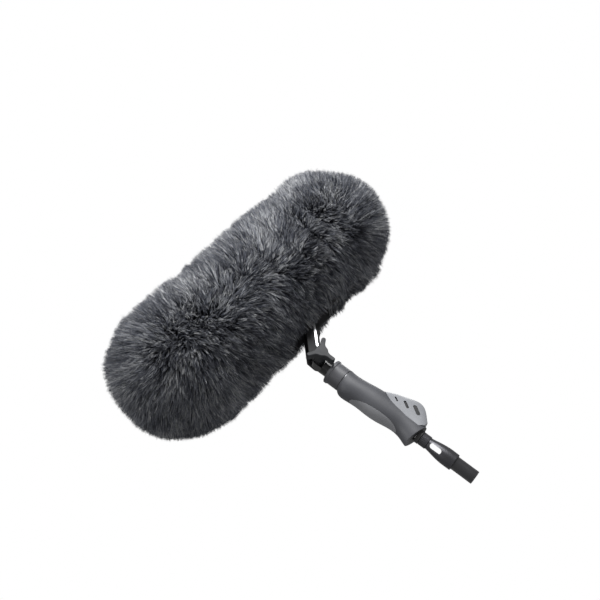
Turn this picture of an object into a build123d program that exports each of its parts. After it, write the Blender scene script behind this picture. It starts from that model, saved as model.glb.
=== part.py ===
from build123d import *

import os
from math import cos, radians, sin, sqrt

# Furry windscreen on a pistol grip, in millimetres. Z runs up the grip's axis, +X is the front
# (where the microphone points) and the origin is the centre of the pole tube's lower end.

# --- driving dimensions -------------------------------------------------------------------
pole_radius = 8.4
pole_wall = 1.5
pole_top = 44.0
pole_joint_radius = 8.0
tip_base = 28.5
tip_shoulder = 65.6
tip_slot_centre = 55.2
tip_slot_length = 17.0
tip_slot_width = 6.6
tip_slot_azimuth = 56.0
spigot_radius = 6.0
stud_radius = 4.7625
running = 0.05

grip_base = 76.0
grip_top = 188.5
core_radius = 12.6
core_bore = 11.2
collar_top = 209.0
neck_radius = 9.9
neck_shoulder = 218.6
base_slant = 15.0
base_middle = 80.7
cap_wall = 3.0
stud_low = 64.6

pivot_height = 228.0
tongue_half = 5.6
tongue_radius = 8.2
washer_face = 6.6
arm_face = 10.2
arm_end_radius = 7.1
bolt_radius = 3.0
knob_radius = 19.3

axis_height = 344.0
basket_radius = 56.0
basket_wall = 2.0
basket_front = 115.4
basket_rear = -160.6
ring_length = 8.0
ring_bore = 52.0
cap_gap = 0.2

fur_radius = 89.5
fur_bore = 56.6
fur_crease_depth = 6.0
front_seam = 38.0
rear_seam = -129.0
opening_centre = -36.5
opening_length = 95.0
opening_width = 29.0
opening_corner = 6.0
binding_wall = 2.0
binding_low = 262.0
binding_height = 24.0
channel_roof = 278.8
channel_width = 26.0

rail_top = 296.0
rail_half = 8.0
saddle_screw_places = ((-72.0, 0), (-28.0, 0))
saddle_screw_radius = 2.0
mount_front = 60.0
mount_rear = -100.0
clip_radius = 10.6

basket_axis = Plane(origin=(0, 0, axis_height), x_dir=(0, 1, 0), z_dir=(1, 0, 0))
base_plane = Plane(
    origin=(0, 0, base_middle),
    x_dir=(cos(radians(base_slant)), 0, sin(radians(base_slant))),
    z_dir=(-sin(radians(base_slant)), 0, cos(radians(base_slant))),
)

# Grip sections: height, half depth along X, half width along Y, centre along X.
grip_sections = [
    (grip_base, 15.4, 14.6, 3.2),
    (87.0, 17.2, 14.8, 2.2),
    (101.0, 15.3, 14.6, -0.8),
    (128.0, 18.0, 15.5, -1.0),
    (146.0, 18.3, 16.0, -0.3),
    (167.0, 16.6, 15.9, 1.4),
    (grip_top, 15.0, 15.0, 0.0),
]
# Tail sections: height, half depth behind the tail's centre line, half width.
tail_centre = -4.0
tail_sections = [
    (77.0, 8.5, 13.6),
    (83.0, 18.6, 13.8),
    (90.0, 26.8, 14.0),
    (98.0, 32.2, 14.0),
    (107.0, 32.2, 14.2),
    (118.0, 27.8, 14.6),
    (134.0, 20.8, 15.0),
    (154.0, 13.8, 15.2),
]
# Tail slots: centre X, centre Z, overall length, width.
tail_slots = [(-14.8, 125.4, 7.5, 2.4), (-16.9, 112.4, 11.5, 3.8), (-19.4, 98.9, 15.0, 5.2)]
slot_tilt = 126.0
pad_floor = 7.0
pad_face = 10.6

os.makedirs("parts", exist_ok=True)


def save(piece, name):
    """Labels a finished piece and writes it as one STEP file."""
    piece.part.label = name
    export_step(piece.part, f"parts/{name}.step")


def grip_form(inset):
    """The grip's smooth outer form, drawn in by the given inset all round."""
    with BuildPart() as form:
        for height, depth, width, centre in grip_sections:
            with BuildSketch(Plane.XY.offset(height)):
                with Locations((centre, 0)):
                    Ellipse(depth - inset, width - inset)
        loft()
    return form.part


def polar(radius, degrees):
    """The (x, y) point at a radius and an angle."""
    return radius * cos(radians(degrees)), radius * sin(radians(degrees))


def turned(points, bore=0.0):
    """A body turned about Z from (radius, height) points, with an optional through bore."""
    with BuildPart() as body:
        with BuildSketch(Plane.XZ):
            with BuildLine():
                Polyline([(bore, points[0][1]), *points, (bore, points[-1][1])], close=True)
            make_face()
        revolve(axis=Axis.Z)
    return body


# --- pole, its tip and the lock ring ------------------------------------------------------
with BuildPart() as pole_tube:
    with BuildSketch():
        Circle(pole_radius)
    extrude(amount=tip_base)
    with BuildSketch(Plane.XY.offset(tip_base)):
        Circle(pole_joint_radius)
    extrude(amount=pole_top - tip_base)
    with BuildSketch():
        Circle(pole_radius - pole_wall)
    extrude(amount=pole_top, mode=Mode.SUBTRACT)
    chamfer(pole_tube.edges().group_by(Axis.Z)[0], 0.3)
save(pole_tube, "pole_tube")

slot_plane = Plane(
    origin=(0, 0, tip_slot_centre),
    x_dir=(0, 0, 1),
    z_dir=(cos(radians(tip_slot_azimuth)), sin(radians(tip_slot_azimuth)), 0),
)
with BuildPart() as pole_tip:
    with BuildSketch(Plane.XZ):
        with BuildLine():
            base_line = Line((0, tip_base), (9.6, tip_base))
            edge_arc = RadiusArc((9.6, tip_base), (10.4, tip_base + 0.8), -0.8)
            flank = Spline(
                (10.4, tip_base + 0.8), (10.5, 39.0), (9.0, 54.0), (7.1, tip_shoulder),
                tangents=((0, 1), (-0.1, 1)),
            )
            Polyline(flank @ 1, (spigot_radius, tip_shoulder), (spigot_radius, grip_base),
                     (0, grip_base), (0, tip_base))
        make_face()
    revolve(axis=Axis.Z)
    with BuildSketch(Plane.XY.offset(tip_base)):
        Circle(pole_joint_radius)
    extrude(amount=pole_top - tip_base, mode=Mode.SUBTRACT)
    with BuildSketch(Plane.XY.offset(pole_top)):
        Circle(pole_radius - pole_wall)
    with BuildSketch(Plane.XY.offset(tip_slot_centre + tip_slot_length / 2)):
        Circle(stud_radius - 0.5)
    loft(mode=Mode.SUBTRACT)
    with BuildSketch(Plane.XY.offset(stud_low)):
        Circle(stud_radius)
    extrude(amount=grip_base - stud_low, mode=Mode.SUBTRACT)
    with BuildSketch(slot_plane):
        SlotOverall(tip_slot_length, tip_slot_width)
    extrude(amount=15, both=True, mode=Mode.SUBTRACT)
save(pole_tip, "pole_tip")

pole_stud = turned([(stud_radius, stud_low), (stud_radius, 94.0), (stud_radius - 1, 95.0)])
save(pole_stud, "pole_stud")

ring_low = tip_shoulder + 0.2
ring_high = grip_base - 0.8
with BuildPart() as pole_lock_ring:
    with BuildSketch(Plane.XY.offset(ring_low)):
        Circle(8.1)
        with PolarLocations(8.5, 28):
            Circle(0.62, mode=Mode.SUBTRACT)
        Circle(spigot_radius + running, mode=Mode.SUBTRACT)
    extrude(amount=ring_high - ring_low)
save(pole_lock_ring, "pole_lock_ring")

# --- grip ---------------------------------------------------------------------------------
insert_top = 97.0
core_top = 202.8
boss_radius = 8.6

# The grip's base is slanted, and a round boss under it meets the pole tip squarely.
with BuildPart() as base_cap:
    with BuildSketch(Plane.XY.offset(grip_base)):
        Circle(core_radius)
    extrude(amount=insert_top - grip_base)
    split(bisect_by=base_plane, keep=Keep.TOP)
    with BuildSketch(Plane.XY.offset(grip_base)):
        Circle(boss_radius)
    extrude(amount=base_middle - grip_base)
    split(bisect_by=base_plane.offset(cap_wall), keep=Keep.BOTTOM)
    with BuildSketch(Plane.XY.offset(grip_base)):
        Circle(stud_radius)
    extrude(amount=insert_top - grip_base, mode=Mode.SUBTRACT)
save(base_cap, "base_cap")

with BuildPart() as grip_insert:
    add(turned([(core_bore, grip_base), (core_bore, insert_top)], bore=stud_radius).part)
    split(bisect_by=base_plane.offset(cap_wall), keep=Keep.TOP)
save(grip_insert, "grip_insert")

with BuildPart() as grip_core:
    add(turned([(core_radius, grip_base), (core_radius, core_top)], bore=core_bore).part)
    split(bisect_by=base_plane.offset(cap_wall), keep=Keep.TOP)
save(grip_core, "grip_core")

bush_low = 150.0
neck_bush = turned([(core_bore, bush_low), (core_bore, core_top)], bore=neck_radius + running)
save(neck_bush, "neck_bush")

outer_form = grip_form(0.0)
inner_form = grip_form(1.8)

with BuildPart() as tail_form:
    for height, depth, width in tail_sections:
        with BuildSketch(Plane.XY.offset(height)):
            with Locations((tail_centre, 0)):
                Ellipse(depth, width)
    loft()

with BuildPart() as tail_region:
    with BuildSketch(Plane.XZ):
        with BuildLine():
            border = Spline(
                (-30, 150), (-19, 145), (-11.0, 135.8), (-6.6, 124), (-4.2, 108), (-3.2, 95),
                tangents=((1, -0.15), (0, -1)),
            )
            Polyline(border @ 1, (-3.2, 86.0), (-9.0, 80.4), (-60, 80.4), (-60, 150), border @ 0)
        make_face()
    extrude(amount=30, both=True)

inlay_centre = 135.3
with BuildPart() as inlay_region:
    with BuildSketch(Plane.YZ):
        with Locations((0, inlay_centre)):
            Ellipse(11.6, 33.2)
    extrude(amount=30)
    add(inner_form, mode=Mode.SUBTRACT)

with BuildPart() as grip_sleeve:
    add(outer_form)
    add(tail_region.part, mode=Mode.SUBTRACT)
    add(inlay_region.part, mode=Mode.SUBTRACT)
    with BuildSketch(Plane.XY.offset(grip_base)):
        Circle(core_radius)
    extrude(amount=grip_top - grip_base, mode=Mode.SUBTRACT)
    split(bisect_by=base_plane, keep=Keep.TOP)
save(grip_sleeve, "grip_sleeve")

with BuildPart() as grip_inlay:
    with BuildSketch(Plane.YZ):
        with Locations((0, inlay_centre)):
            Ellipse(11.3, 32.9)
    extrude(amount=30)
    add(outer_form, mode=Mode.INTERSECT)
    add(inner_form, mode=Mode.SUBTRACT)
    with BuildSketch(Plane.XY.offset(grip_base)):
        Circle(core_radius)
    extrude(amount=grip_top - grip_base, mode=Mode.SUBTRACT)
save(grip_inlay, "grip_inlay")

with BuildPart() as grip_tail:
    add(tail_form.part & tail_region.part)
    add(outer_form & tail_region.part)
    with BuildSketch(Plane.XY.offset(grip_base)):
        Circle(core_radius)
    extrude(amount=grip_top - grip_base, mode=Mode.SUBTRACT)
    for side in (1, -1):
        with BuildSketch(Plane.XZ.offset(side * pad_floor)):
            for x, z, length, width in tail_slots:
                with Locations((x, z)):
                    SlotOverall(length, width, rotation=slot_tilt)
        extrude(amount=side * 12, mode=Mode.SUBTRACT)
save(grip_tail, "grip_tail")

with BuildPart() as tail_pads:
    for side in (1, -1):
        with BuildSketch(Plane.XZ.offset(side * pad_floor)):
            for x, z, length, width in tail_slots:
                with Locations((x, z)):
                    SlotOverall(length, width, rotation=slot_tilt)
        extrude(amount=side * (pad_face - pad_floor))
save(tail_pads, "tail_pads")

# --- collar and neck ----------------------------------------------------------------------
collar_washer = turned([(13.9, grip_top), (13.9, grip_top + 0.8)], bore=core_radius)
save(collar_washer, "collar_washer")

collar_low = grip_top + 0.95
collar_form = turned(
    [(14.2, collar_low), (14.6, collar_low + 0.4), (14.6, 204.6), (15.6, 205.6), (15.6, 208.4),
     (15.0, collar_top)],
    bore=neck_radius + running,
)
with BuildPart() as lock_collar:
    add(collar_form.part)
    with BuildSketch(Plane.XY.offset(collar_low)):
        Circle(core_radius + running)
    extrude(amount=core_top + 0.2 - collar_low, mode=Mode.SUBTRACT)
save(lock_collar, "lock_collar")

neck_foot = bush_low - 4.0
neck_shaft = turned([(10.9, neck_foot), (10.9, bush_low - 0.2), (neck_radius, bush_low - 0.2),
                     (neck_radius, neck_shoulder)])
with BuildPart() as neck:
    add(neck_shaft.part)
    with BuildSketch(Plane.XZ):
        with Locations((0, pivot_height)):
            Circle(tongue_radius)
        with Locations((0, (neck_shoulder + pivot_height) / 2)):
            Rectangle(2 * tongue_radius, pivot_height - neck_shoulder)
    extrude(amount=tongue_half, both=True)
    with BuildSketch(Plane.XZ):
        with Locations((0, pivot_height)):
            Circle(bolt_radius + running)
    extrude(amount=20, both=True, mode=Mode.SUBTRACT)
save(neck, "neck")

# --- tilt joint ---------------------------------------------------------------------------
pivot_plane = Plane(origin=(0, 0, pivot_height), x_dir=(1, 0, 0), z_dir=(0, -1, 0))

with BuildPart() as friction_washers:
    for side in (1, -1):
        with BuildSketch(pivot_plane.offset(side * (tongue_half + 0.15))):
            Circle(6.9)
            Circle(bolt_radius, mode=Mode.SUBTRACT)
        extrude(amount=side * (washer_face - tongue_half - 0.15))
save(friction_washers, "friction_washers")

bolt_head_face = arm_face + 3.2
bolt_end = 23.0
with BuildPart() as tilt_bolt:
    with BuildSketch(pivot_plane.offset(bolt_head_face)):
        Circle(bolt_radius)
    extrude(amount=-bolt_head_face - bolt_end)
    with BuildSketch(pivot_plane.offset(arm_face)):
        RegularPolygon(5.6, 6)
    extrude(amount=bolt_head_face - arm_face)
    chamfer(tilt_bolt.edges().group_by(Axis.Y)[0], 0.5)
save(tilt_bolt, "tilt_bolt")

# The knob faces +Y, and its three lobes stand around the hub.
knob_low = arm_face + 0.3
knob_lobe_low = 16.2
knob_high = 25.6
lobe_radius = 2.7
lobe_reach = knob_radius - lobe_radius
lobe_start = 30.0
flank_radius = 8.0
knob_plane = Plane(origin=(0, 0, pivot_height), x_dir=(1, 0, 0), z_dir=(0, 1, 0))
lobe_angles = [-(lobe_start + 120 * k) for k in range(3)]
with BuildPart() as tilt_knob:
    with BuildSketch(knob_plane.offset(knob_lobe_low)):
        Circle(7.6)
        for angle in lobe_angles:
            with Locations(polar(lobe_reach, angle)):
                Circle(lobe_radius)
            with Locations(polar(lobe_reach / 2, angle)):
                Rectangle(lobe_reach, 2 * lobe_radius, rotation=angle)
        offset(amount=flank_radius)
        offset(amount=-flank_radius)
    extrude(amount=knob_high - knob_lobe_low)
    rims = tilt_knob.edges().group_by(Axis.Y)
    fillet(rims[0] + rims[-1], 1.2)
    with BuildSketch(knob_plane.offset(knob_low)):
        Circle(7.4)
    extrude(amount=knob_lobe_low + 1 - knob_low)
    with BuildSketch(knob_plane.offset(knob_low)):
        Circle(bolt_radius + running)
    extrude(amount=bolt_end + 0.5 - knob_low, mode=Mode.SUBTRACT)
    with BuildSketch(knob_plane.offset(knob_low)):
        RegularPolygon(5.6, 6)
    extrude(amount=5.2, mode=Mode.SUBTRACT)
save(tilt_knob, "tilt_knob")

with BuildPart() as tilt_nut:
    with BuildSketch(knob_plane.offset(knob_low)):
        RegularPolygon(5.6, 6)
        Circle(bolt_radius + running, mode=Mode.SUBTRACT)
    extrude(amount=5.2)
save(tilt_nut, "tilt_nut")

# --- yoke ---------------------------------------------------------------------------------
flange_low = 280.0
flange_high = 284.0
flange_front, flange_rear = -16.0, -82.0
arm_rise = flange_low - pivot_height
with BuildPart() as yoke:
    for side in (1, -1):
        with BuildSketch(pivot_plane.offset(side * washer_face)):
            Circle(arm_end_radius)
            with BuildLine():
                lean = Polyline((-6.4, -2.8), (-14.6, 10.4), (-14.6 - arm_rise + 10.4, arm_rise))
                front = Polyline((17.6 - arm_rise, arm_rise), (6.2, 11.4), (6.8, 5.0),
                                 (arm_end_radius, 0.0))
                Line(lean @ 1, front @ 0)
                Line(front @ 1, lean @ 0)
            make_face()
        extrude(amount=side * (arm_face - washer_face))
    with BuildSketch(Plane.XY.offset(flange_low)):
        with Locations(((flange_front + flange_rear) / 2, 0)):
            RectangleRounded(flange_front - flange_rear, 2 * arm_face + 3, 4)
    extrude(amount=flange_high - flange_low)
    with BuildSketch(Plane.XZ):
        with BuildLine():
            Polyline((-30.6, pivot_height + 22.0), (-59.0, flange_low), (-55.0, flange_low),
                     (-28.6, pivot_height + 24.0), close=True)
        make_face()
    extrude(amount=washer_face, both=True)
    with BuildSketch(pivot_plane):
        Circle(bolt_radius)
    extrude(amount=20, both=True, mode=Mode.SUBTRACT)
    with BuildSketch(Plane.XY.offset(flange_low)):
        with Locations(*saddle_screw_places):
            Circle(saddle_screw_radius)
    extrude(amount=10, mode=Mode.SUBTRACT)
save(yoke, "yoke")

# A bright strip lies on the outer face of each arm, along its leaning rear edge.
strip_lean = 135.0
strip_middle = (-27.4, 29.1)
with BuildPart() as yoke_strips:
    for side in (1, -1):
        with BuildSketch(pivot_plane.offset(side * arm_face)):
            with Locations(strip_middle):
                SlotOverall(48.0, 2.6, rotation=strip_lean)
        extrude(amount=side * 0.7)
save(yoke_strips, "yoke_strips")

with BuildPart() as yoke_saddle:
    with BuildSketch(Plane.XY.offset(flange_high)):
        with Locations(((flange_front + flange_rear) / 2, 0)):
            RectangleRounded(flange_front - flange_rear, 2 * arm_face + 3, 4)
    extrude(amount=8)
    with BuildSketch(basket_axis):
        Circle(basket_radius)
    extrude(amount=400, both=True, mode=Mode.SUBTRACT)
    with BuildSketch(Plane.XY.offset(flange_high)):
        with Locations(*saddle_screw_places):
            Circle(saddle_screw_radius)
    extrude(amount=10, mode=Mode.SUBTRACT)
save(yoke_saddle, "yoke_saddle")

with BuildPart() as saddle_screws:
    with BuildSketch(Plane.XY.offset(flange_low)):
        with Locations(*saddle_screw_places):
            Circle(saddle_screw_radius)
    extrude(amount=rail_top - 1 - flange_low)
    with BuildSketch(Plane.XY.offset(flange_low)):
        with Locations(*saddle_screw_places):
            Circle(3.6)
    extrude(amount=-2.4)
save(saddle_screws, "saddle_screws")

# --- basket -------------------------------------------------------------------------------
tube_front = basket_front - ring_length
tube_rear = basket_rear + ring_length
with BuildPart() as basket_tube:
    with BuildSketch(basket_axis.offset(tube_rear)):
        Circle(basket_radius)
        Circle(basket_radius - basket_wall, mode=Mode.SUBTRACT)
    extrude(amount=tube_front - tube_rear)
    window_rows = 6
    window_pitch = (tube_front - tube_rear) / window_rows
    for angle in range(-60, 241, 30):
        window_side = Plane(
            origin=(0, 0, axis_height),
            x_dir=(1, 0, 0),
            z_dir=(0, cos(radians(angle)), sin(radians(angle))),
        )
        with BuildSketch(window_side):
            for row in range(window_rows):
                with Locations((tube_rear + window_pitch * (row + 0.5), 0)):
                    RectangleRounded(window_pitch - 8, 18, 4)
        extrude(amount=basket_radius + 5, mode=Mode.SUBTRACT)
    with BuildSketch(Plane.XY.offset(flange_low)):
        with Locations(*saddle_screw_places):
            Circle(saddle_screw_radius)
    extrude(amount=15, mode=Mode.SUBTRACT)
save(basket_tube, "basket_tube")

for name, start in (("front_ring", tube_front), ("rear_ring", basket_rear)):
    with BuildPart() as ring:
        with BuildSketch(basket_axis.offset(start)):
            Circle(basket_radius)
            Circle(ring_bore, mode=Mode.SUBTRACT)
        extrude(amount=ring_length)
    save(ring, name)

# A cap is a dome with a spigot that turns in its ring.
for name, centre, way in (("front_cap", basket_front, 1), ("rear_cap", basket_rear, -1)):
    with BuildPart() as cap:
        with BuildSketch(Plane.XZ):
            with BuildLine():
                face = centre + way * cap_gap
                dome_height = sqrt(basket_radius**2 - cap_gap**2)
                inner = basket_radius - basket_wall
                outside = RadiusArc((face, axis_height + dome_height),
                                    (centre + way * basket_radius, axis_height),
                                    way * basket_radius)
                Line(outside @ 1, (centre + way * inner, axis_height))
                inside = RadiusArc((centre + way * inner, axis_height),
                                   (centre + way * sqrt(inner**2 - 50.0**2), axis_height + 50.0),
                                   -way * inner)
                Polyline(inside @ 1, (centre - way * 5, axis_height + 50.0),
                         (centre - way * 5, axis_height + ring_bore - running),
                         (face, axis_height + ring_bore - running), outside @ 0)
            make_face()
        revolve(axis=Axis((0, 0, axis_height), (1, 0, 0)))
    save(cap, name)

# --- suspension ---------------------------------------------------------------------------
rail_front, rail_rear = 92.0, -132.0
with BuildPart() as chassis_rail:
    with BuildSketch(basket_axis.offset(rail_rear)):
        Circle(basket_radius - basket_wall)
        with Locations((0, rail_top - axis_height - 10)):
            Rectangle(2 * rail_half, 20, mode=Mode.INTERSECT)
    extrude(amount=rail_front - rail_rear)
    with BuildSketch(Plane.XY.offset(flange_low)):
        with Locations(*saddle_screw_places):
            Circle(saddle_screw_radius)
    extrude(amount=rail_top - 1 - flange_low, mode=Mode.SUBTRACT)
save(chassis_rail, "chassis_rail")

carriage_length = 18.0
carriage_top = 301.0
lyre_half = 1.2
lyre_bow = 17.0
lyre_foot = carriage_top + lyre_half - axis_height
for end, centre in (("front", mount_front), ("rear", mount_rear)):
    with BuildPart() as carriage:
        with BuildSketch(basket_axis.offset(centre - carriage_length / 2)):
            with BuildLine():
                low, high = 292.2 - axis_height, carriage_top - axis_height
                Polyline((-11.5, low), (-rail_half - 0.1, low), (-rail_half - 0.1, rail_top + 0.2 - axis_height),
                         (rail_half + 0.1, rail_top + 0.2 - axis_height), (rail_half + 0.1, low),
                         (11.5, low), (11.5, high), (-11.5, high), close=True)
            make_face()
        extrude(amount=carriage_length)
    save(carriage, f"{end}_carriage")

    with BuildPart() as lyre:
        with BuildSketch(basket_axis.offset(centre - 4)):
            for side in (1, -1):
                bow = (side * 8.0, lyre_foot + lyre_bow)
                with BuildLine():
                    outside = CenterArc(bow, lyre_bow + lyre_half, -90, side * 180)
                    inside = CenterArc(bow, lyre_bow - lyre_half, -90, side * 180)
                    Line(outside @ 0, inside @ 0)
                    Line(outside @ 1, inside @ 1)
                make_face()
            with Locations((0, lyre_foot)):
                Rectangle(17, 2 * lyre_half)
            Circle(clip_radius + 2.4, mode=Mode.SUBTRACT)
        extrude(amount=8)
    save(lyre, f"{end}_lyre")

    with BuildPart() as clip:
        with BuildSketch(basket_axis.offset(centre - 6)):
            Circle(clip_radius + 2.4)
            Circle(clip_radius, mode=Mode.SUBTRACT)
            with Locations((0, clip_radius)):
                Rectangle(13, 14, mode=Mode.SUBTRACT)
        extrude(amount=12)
    save(clip, f"{end}_clip")

    with BuildPart() as screw:
        with BuildSketch(Plane.XY.offset(carriage_top + 2 * lyre_half)):
            with Locations((centre, 0)):
                Circle(3.2)
        extrude(amount=2.2)
    save(screw, f"{end}_screw")

# --- fur cover ----------------------------------------------------------------------------
crease_half = 14.0
seam_radius = fur_radius - fur_crease_depth
nose = basket_front + fur_radius
tail_end = basket_rear - fur_radius


def fur_outline():
    """Half outline of the pile above the basket's axis: two domes and two pinched seams."""
    start = (tail_end, axis_height)
    rear_top = (basket_rear, axis_height + fur_radius)
    front_top = (basket_front, axis_height + fur_radius)
    RadiusArc(start, rear_top, fur_radius)
    crown = [rear_top]
    for seam in (rear_seam, front_seam):
        crown += [(seam - crease_half, axis_height + fur_radius),
                  (seam, axis_height + seam_radius),
                  (seam + crease_half, axis_height + fur_radius)]
    Polyline(*crown, front_top)
    RadiusArc(front_top, (nose, axis_height), fur_radius)
    Line((nose, axis_height), start)


zip_front, zip_rear = -88.0, -206.0
bound_length = opening_length + 2 * binding_wall
bound_width = opening_width + 2 * binding_wall
with BuildPart() as fur_form:
    with BuildSketch(Plane.XZ):
        with BuildLine():
            fur_outline()
        make_face()
    revolve(axis=Axis((0, 0, axis_height), (1, 0, 0)))
    with BuildSketch(Plane.XZ):
        with BuildLine():
            back_arc = RadiusArc((basket_rear - fur_bore, axis_height),
                                 (basket_rear, axis_height + fur_bore), fur_bore)
            front_arc = RadiusArc((basket_front, axis_height + fur_bore),
                                  (basket_front + fur_bore, axis_height), fur_bore)
            Line(back_arc @ 1, front_arc @ 0)
            Line(front_arc @ 1, back_arc @ 0)
        make_face()
    revolve(axis=Axis((0, 0, axis_height), (1, 0, 0)), mode=Mode.SUBTRACT)
    with BuildSketch(Plane.XY.offset(axis_height - fur_radius - 5)):
        with Locations((opening_centre, 0)):
            RectangleRounded(bound_length, bound_width, opening_corner + binding_wall)
    extrude(amount=fur_radius + 5, mode=Mode.SUBTRACT)
    with BuildSketch(Plane.XY.offset(channel_roof)):
        with Locations(((zip_front + zip_rear) / 2, 0)):
            Rectangle(zip_front - zip_rear, channel_width)
    extrude(amount=12, mode=Mode.SUBTRACT)

for name, low, high in (("fur_rear", tail_end - 1, rear_seam), ("fur_body", rear_seam, front_seam),
                        ("fur_front", front_seam, nose + 1)):
    with BuildPart() as section:
        add(fur_form.part)
        with BuildSketch(basket_axis.offset(low)):
            Circle(2 * fur_radius)
        extrude(amount=high - low, mode=Mode.INTERSECT)
    save(section, name)

with BuildPart() as opening_binding:
    with BuildSketch(Plane.XY.offset(binding_low)):
        with Locations((opening_centre, 0)):
            RectangleRounded(bound_length, bound_width, opening_corner + binding_wall)
            RectangleRounded(opening_length, opening_width, opening_corner, mode=Mode.SUBTRACT)
    extrude(amount=binding_height)
    with BuildSketch(basket_axis):
        Circle(fur_bore)
    extrude(amount=400, both=True, mode=Mode.SUBTRACT)
save(opening_binding, "opening_binding")

# --- zip along the underside --------------------------------------------------------------
tape_low = 284.4
with BuildPart() as zip_tape:
    with BuildSketch(Plane.XY.offset(tape_low)):
        with Locations(((zip_front + zip_rear) / 2 - 3, 0)):
            Rectangle(zip_front - zip_rear - 10, 20)
    extrude(amount=1.0)
    tooth_count = 50
    tooth_pitch = (zip_front - zip_rear - 14) / tooth_count
    with BuildSketch(Plane.XY.offset(tape_low)):
        for tooth in range(tooth_count):
            with Locations((zip_rear + 4 + tooth_pitch * (tooth + 0.5), 0)):
                Rectangle(tooth_pitch * 0.6, 5.0)
    extrude(amount=-1.2)
save(zip_tape, "zip_tape")

slider_front = zip_front - 12.0
with BuildPart() as zip_slider:
    with BuildSketch(Plane.XY.offset(tape_low - 3.2)):
        with Locations((slider_front - 6, 0)):
            RectangleRounded(12, 9.6, 2.5)
    extrude(amount=1.7)
    with BuildSketch(Plane.XY.offset(tape_low - 1.5)):
        with Locations((slider_front - 6, 3.9), (slider_front - 6, -3.9)):
            Rectangle(9, 1.6)
    extrude(amount=1.3)
    with BuildSketch(Plane.XY.offset(tape_low - 4.4)):
        with Locations((slider_front - 9, 0)):
            SlotOverall(22, 6)
    extrude(amount=1.2)
save(zip_slider, "zip_slider")
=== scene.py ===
"""A furry windscreen on a pistol grip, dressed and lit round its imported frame.

Units are metres. Z runs up the grip, +X is the front of the windscreen and +Y is the side of
the clamp knob.
"""

import logging
import math
from collections.abc import Callable, Sequence
from dataclasses import dataclass, field
from enum import Enum

import bmesh
import bpy
import numpy as np
from mathutils import Matrix, Vector
from mathutils.kdtree import KDTree


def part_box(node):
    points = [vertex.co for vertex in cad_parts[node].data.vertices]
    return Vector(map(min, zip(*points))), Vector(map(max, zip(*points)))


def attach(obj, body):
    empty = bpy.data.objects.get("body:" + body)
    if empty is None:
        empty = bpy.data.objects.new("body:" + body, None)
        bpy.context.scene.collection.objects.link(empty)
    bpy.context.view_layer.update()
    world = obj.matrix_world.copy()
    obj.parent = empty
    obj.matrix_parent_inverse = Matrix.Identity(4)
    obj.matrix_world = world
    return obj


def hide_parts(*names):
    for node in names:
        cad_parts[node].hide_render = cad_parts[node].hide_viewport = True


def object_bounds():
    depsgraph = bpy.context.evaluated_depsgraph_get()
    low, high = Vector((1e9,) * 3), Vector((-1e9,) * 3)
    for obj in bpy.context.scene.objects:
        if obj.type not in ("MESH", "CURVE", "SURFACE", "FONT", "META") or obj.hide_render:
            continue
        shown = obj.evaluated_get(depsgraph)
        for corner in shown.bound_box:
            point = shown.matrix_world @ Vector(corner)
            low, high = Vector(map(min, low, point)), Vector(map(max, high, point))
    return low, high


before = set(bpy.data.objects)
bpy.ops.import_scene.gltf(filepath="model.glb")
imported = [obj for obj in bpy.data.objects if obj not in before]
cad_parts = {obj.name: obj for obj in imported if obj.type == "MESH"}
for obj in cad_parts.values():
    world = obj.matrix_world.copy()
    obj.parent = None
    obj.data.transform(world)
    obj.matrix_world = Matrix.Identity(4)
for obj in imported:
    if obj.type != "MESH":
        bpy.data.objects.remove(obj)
cad_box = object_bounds()

log = logging.getLogger("windscreen")

MM = 0.001
Colour = tuple[float, float, float]


# --- shader maths -------------------------------------------------------------------------


class Value:
    """A number on a shader socket, which takes part in ordinary arithmetic."""

    def __init__(self, kit: "NodeKit", socket: bpy.types.NodeSocket) -> None:
        """Wraps a socket.

        Args:
            kit: The node kit that adds the maths nodes.
            socket: The output socket that carries the number.
        """
        self.kit = kit
        self.socket = socket

    def _maths(self, operation: str, left: object, right: object) -> "Value":
        """Adds one Math node.

        Args:
            operation: The Math node's operation.
            left: The first operand.
            right: The second operand.

        Returns:
            The result as a Value.
        """
        node = self.kit.add("ShaderNodeMath", {"operation": operation}, {0: left, 1: right})
        return Value(self.kit, node.outputs[0])

    def __add__(self, other: object) -> "Value":
        """Sum."""
        return self._maths("ADD", self, other)

    def __radd__(self, other: object) -> "Value":
        """Sum, reflected."""
        return self._maths("ADD", other, self)

    def __sub__(self, other: object) -> "Value":
        """Difference."""
        return self._maths("SUBTRACT", self, other)

    def __rsub__(self, other: object) -> "Value":
        """Difference, reflected."""
        return self._maths("SUBTRACT", other, self)

    def __mul__(self, other: object) -> "Value":
        """Product."""
        return self._maths("MULTIPLY", self, other)

    def __rmul__(self, other: object) -> "Value":
        """Product, reflected."""
        return self._maths("MULTIPLY", other, self)


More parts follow.
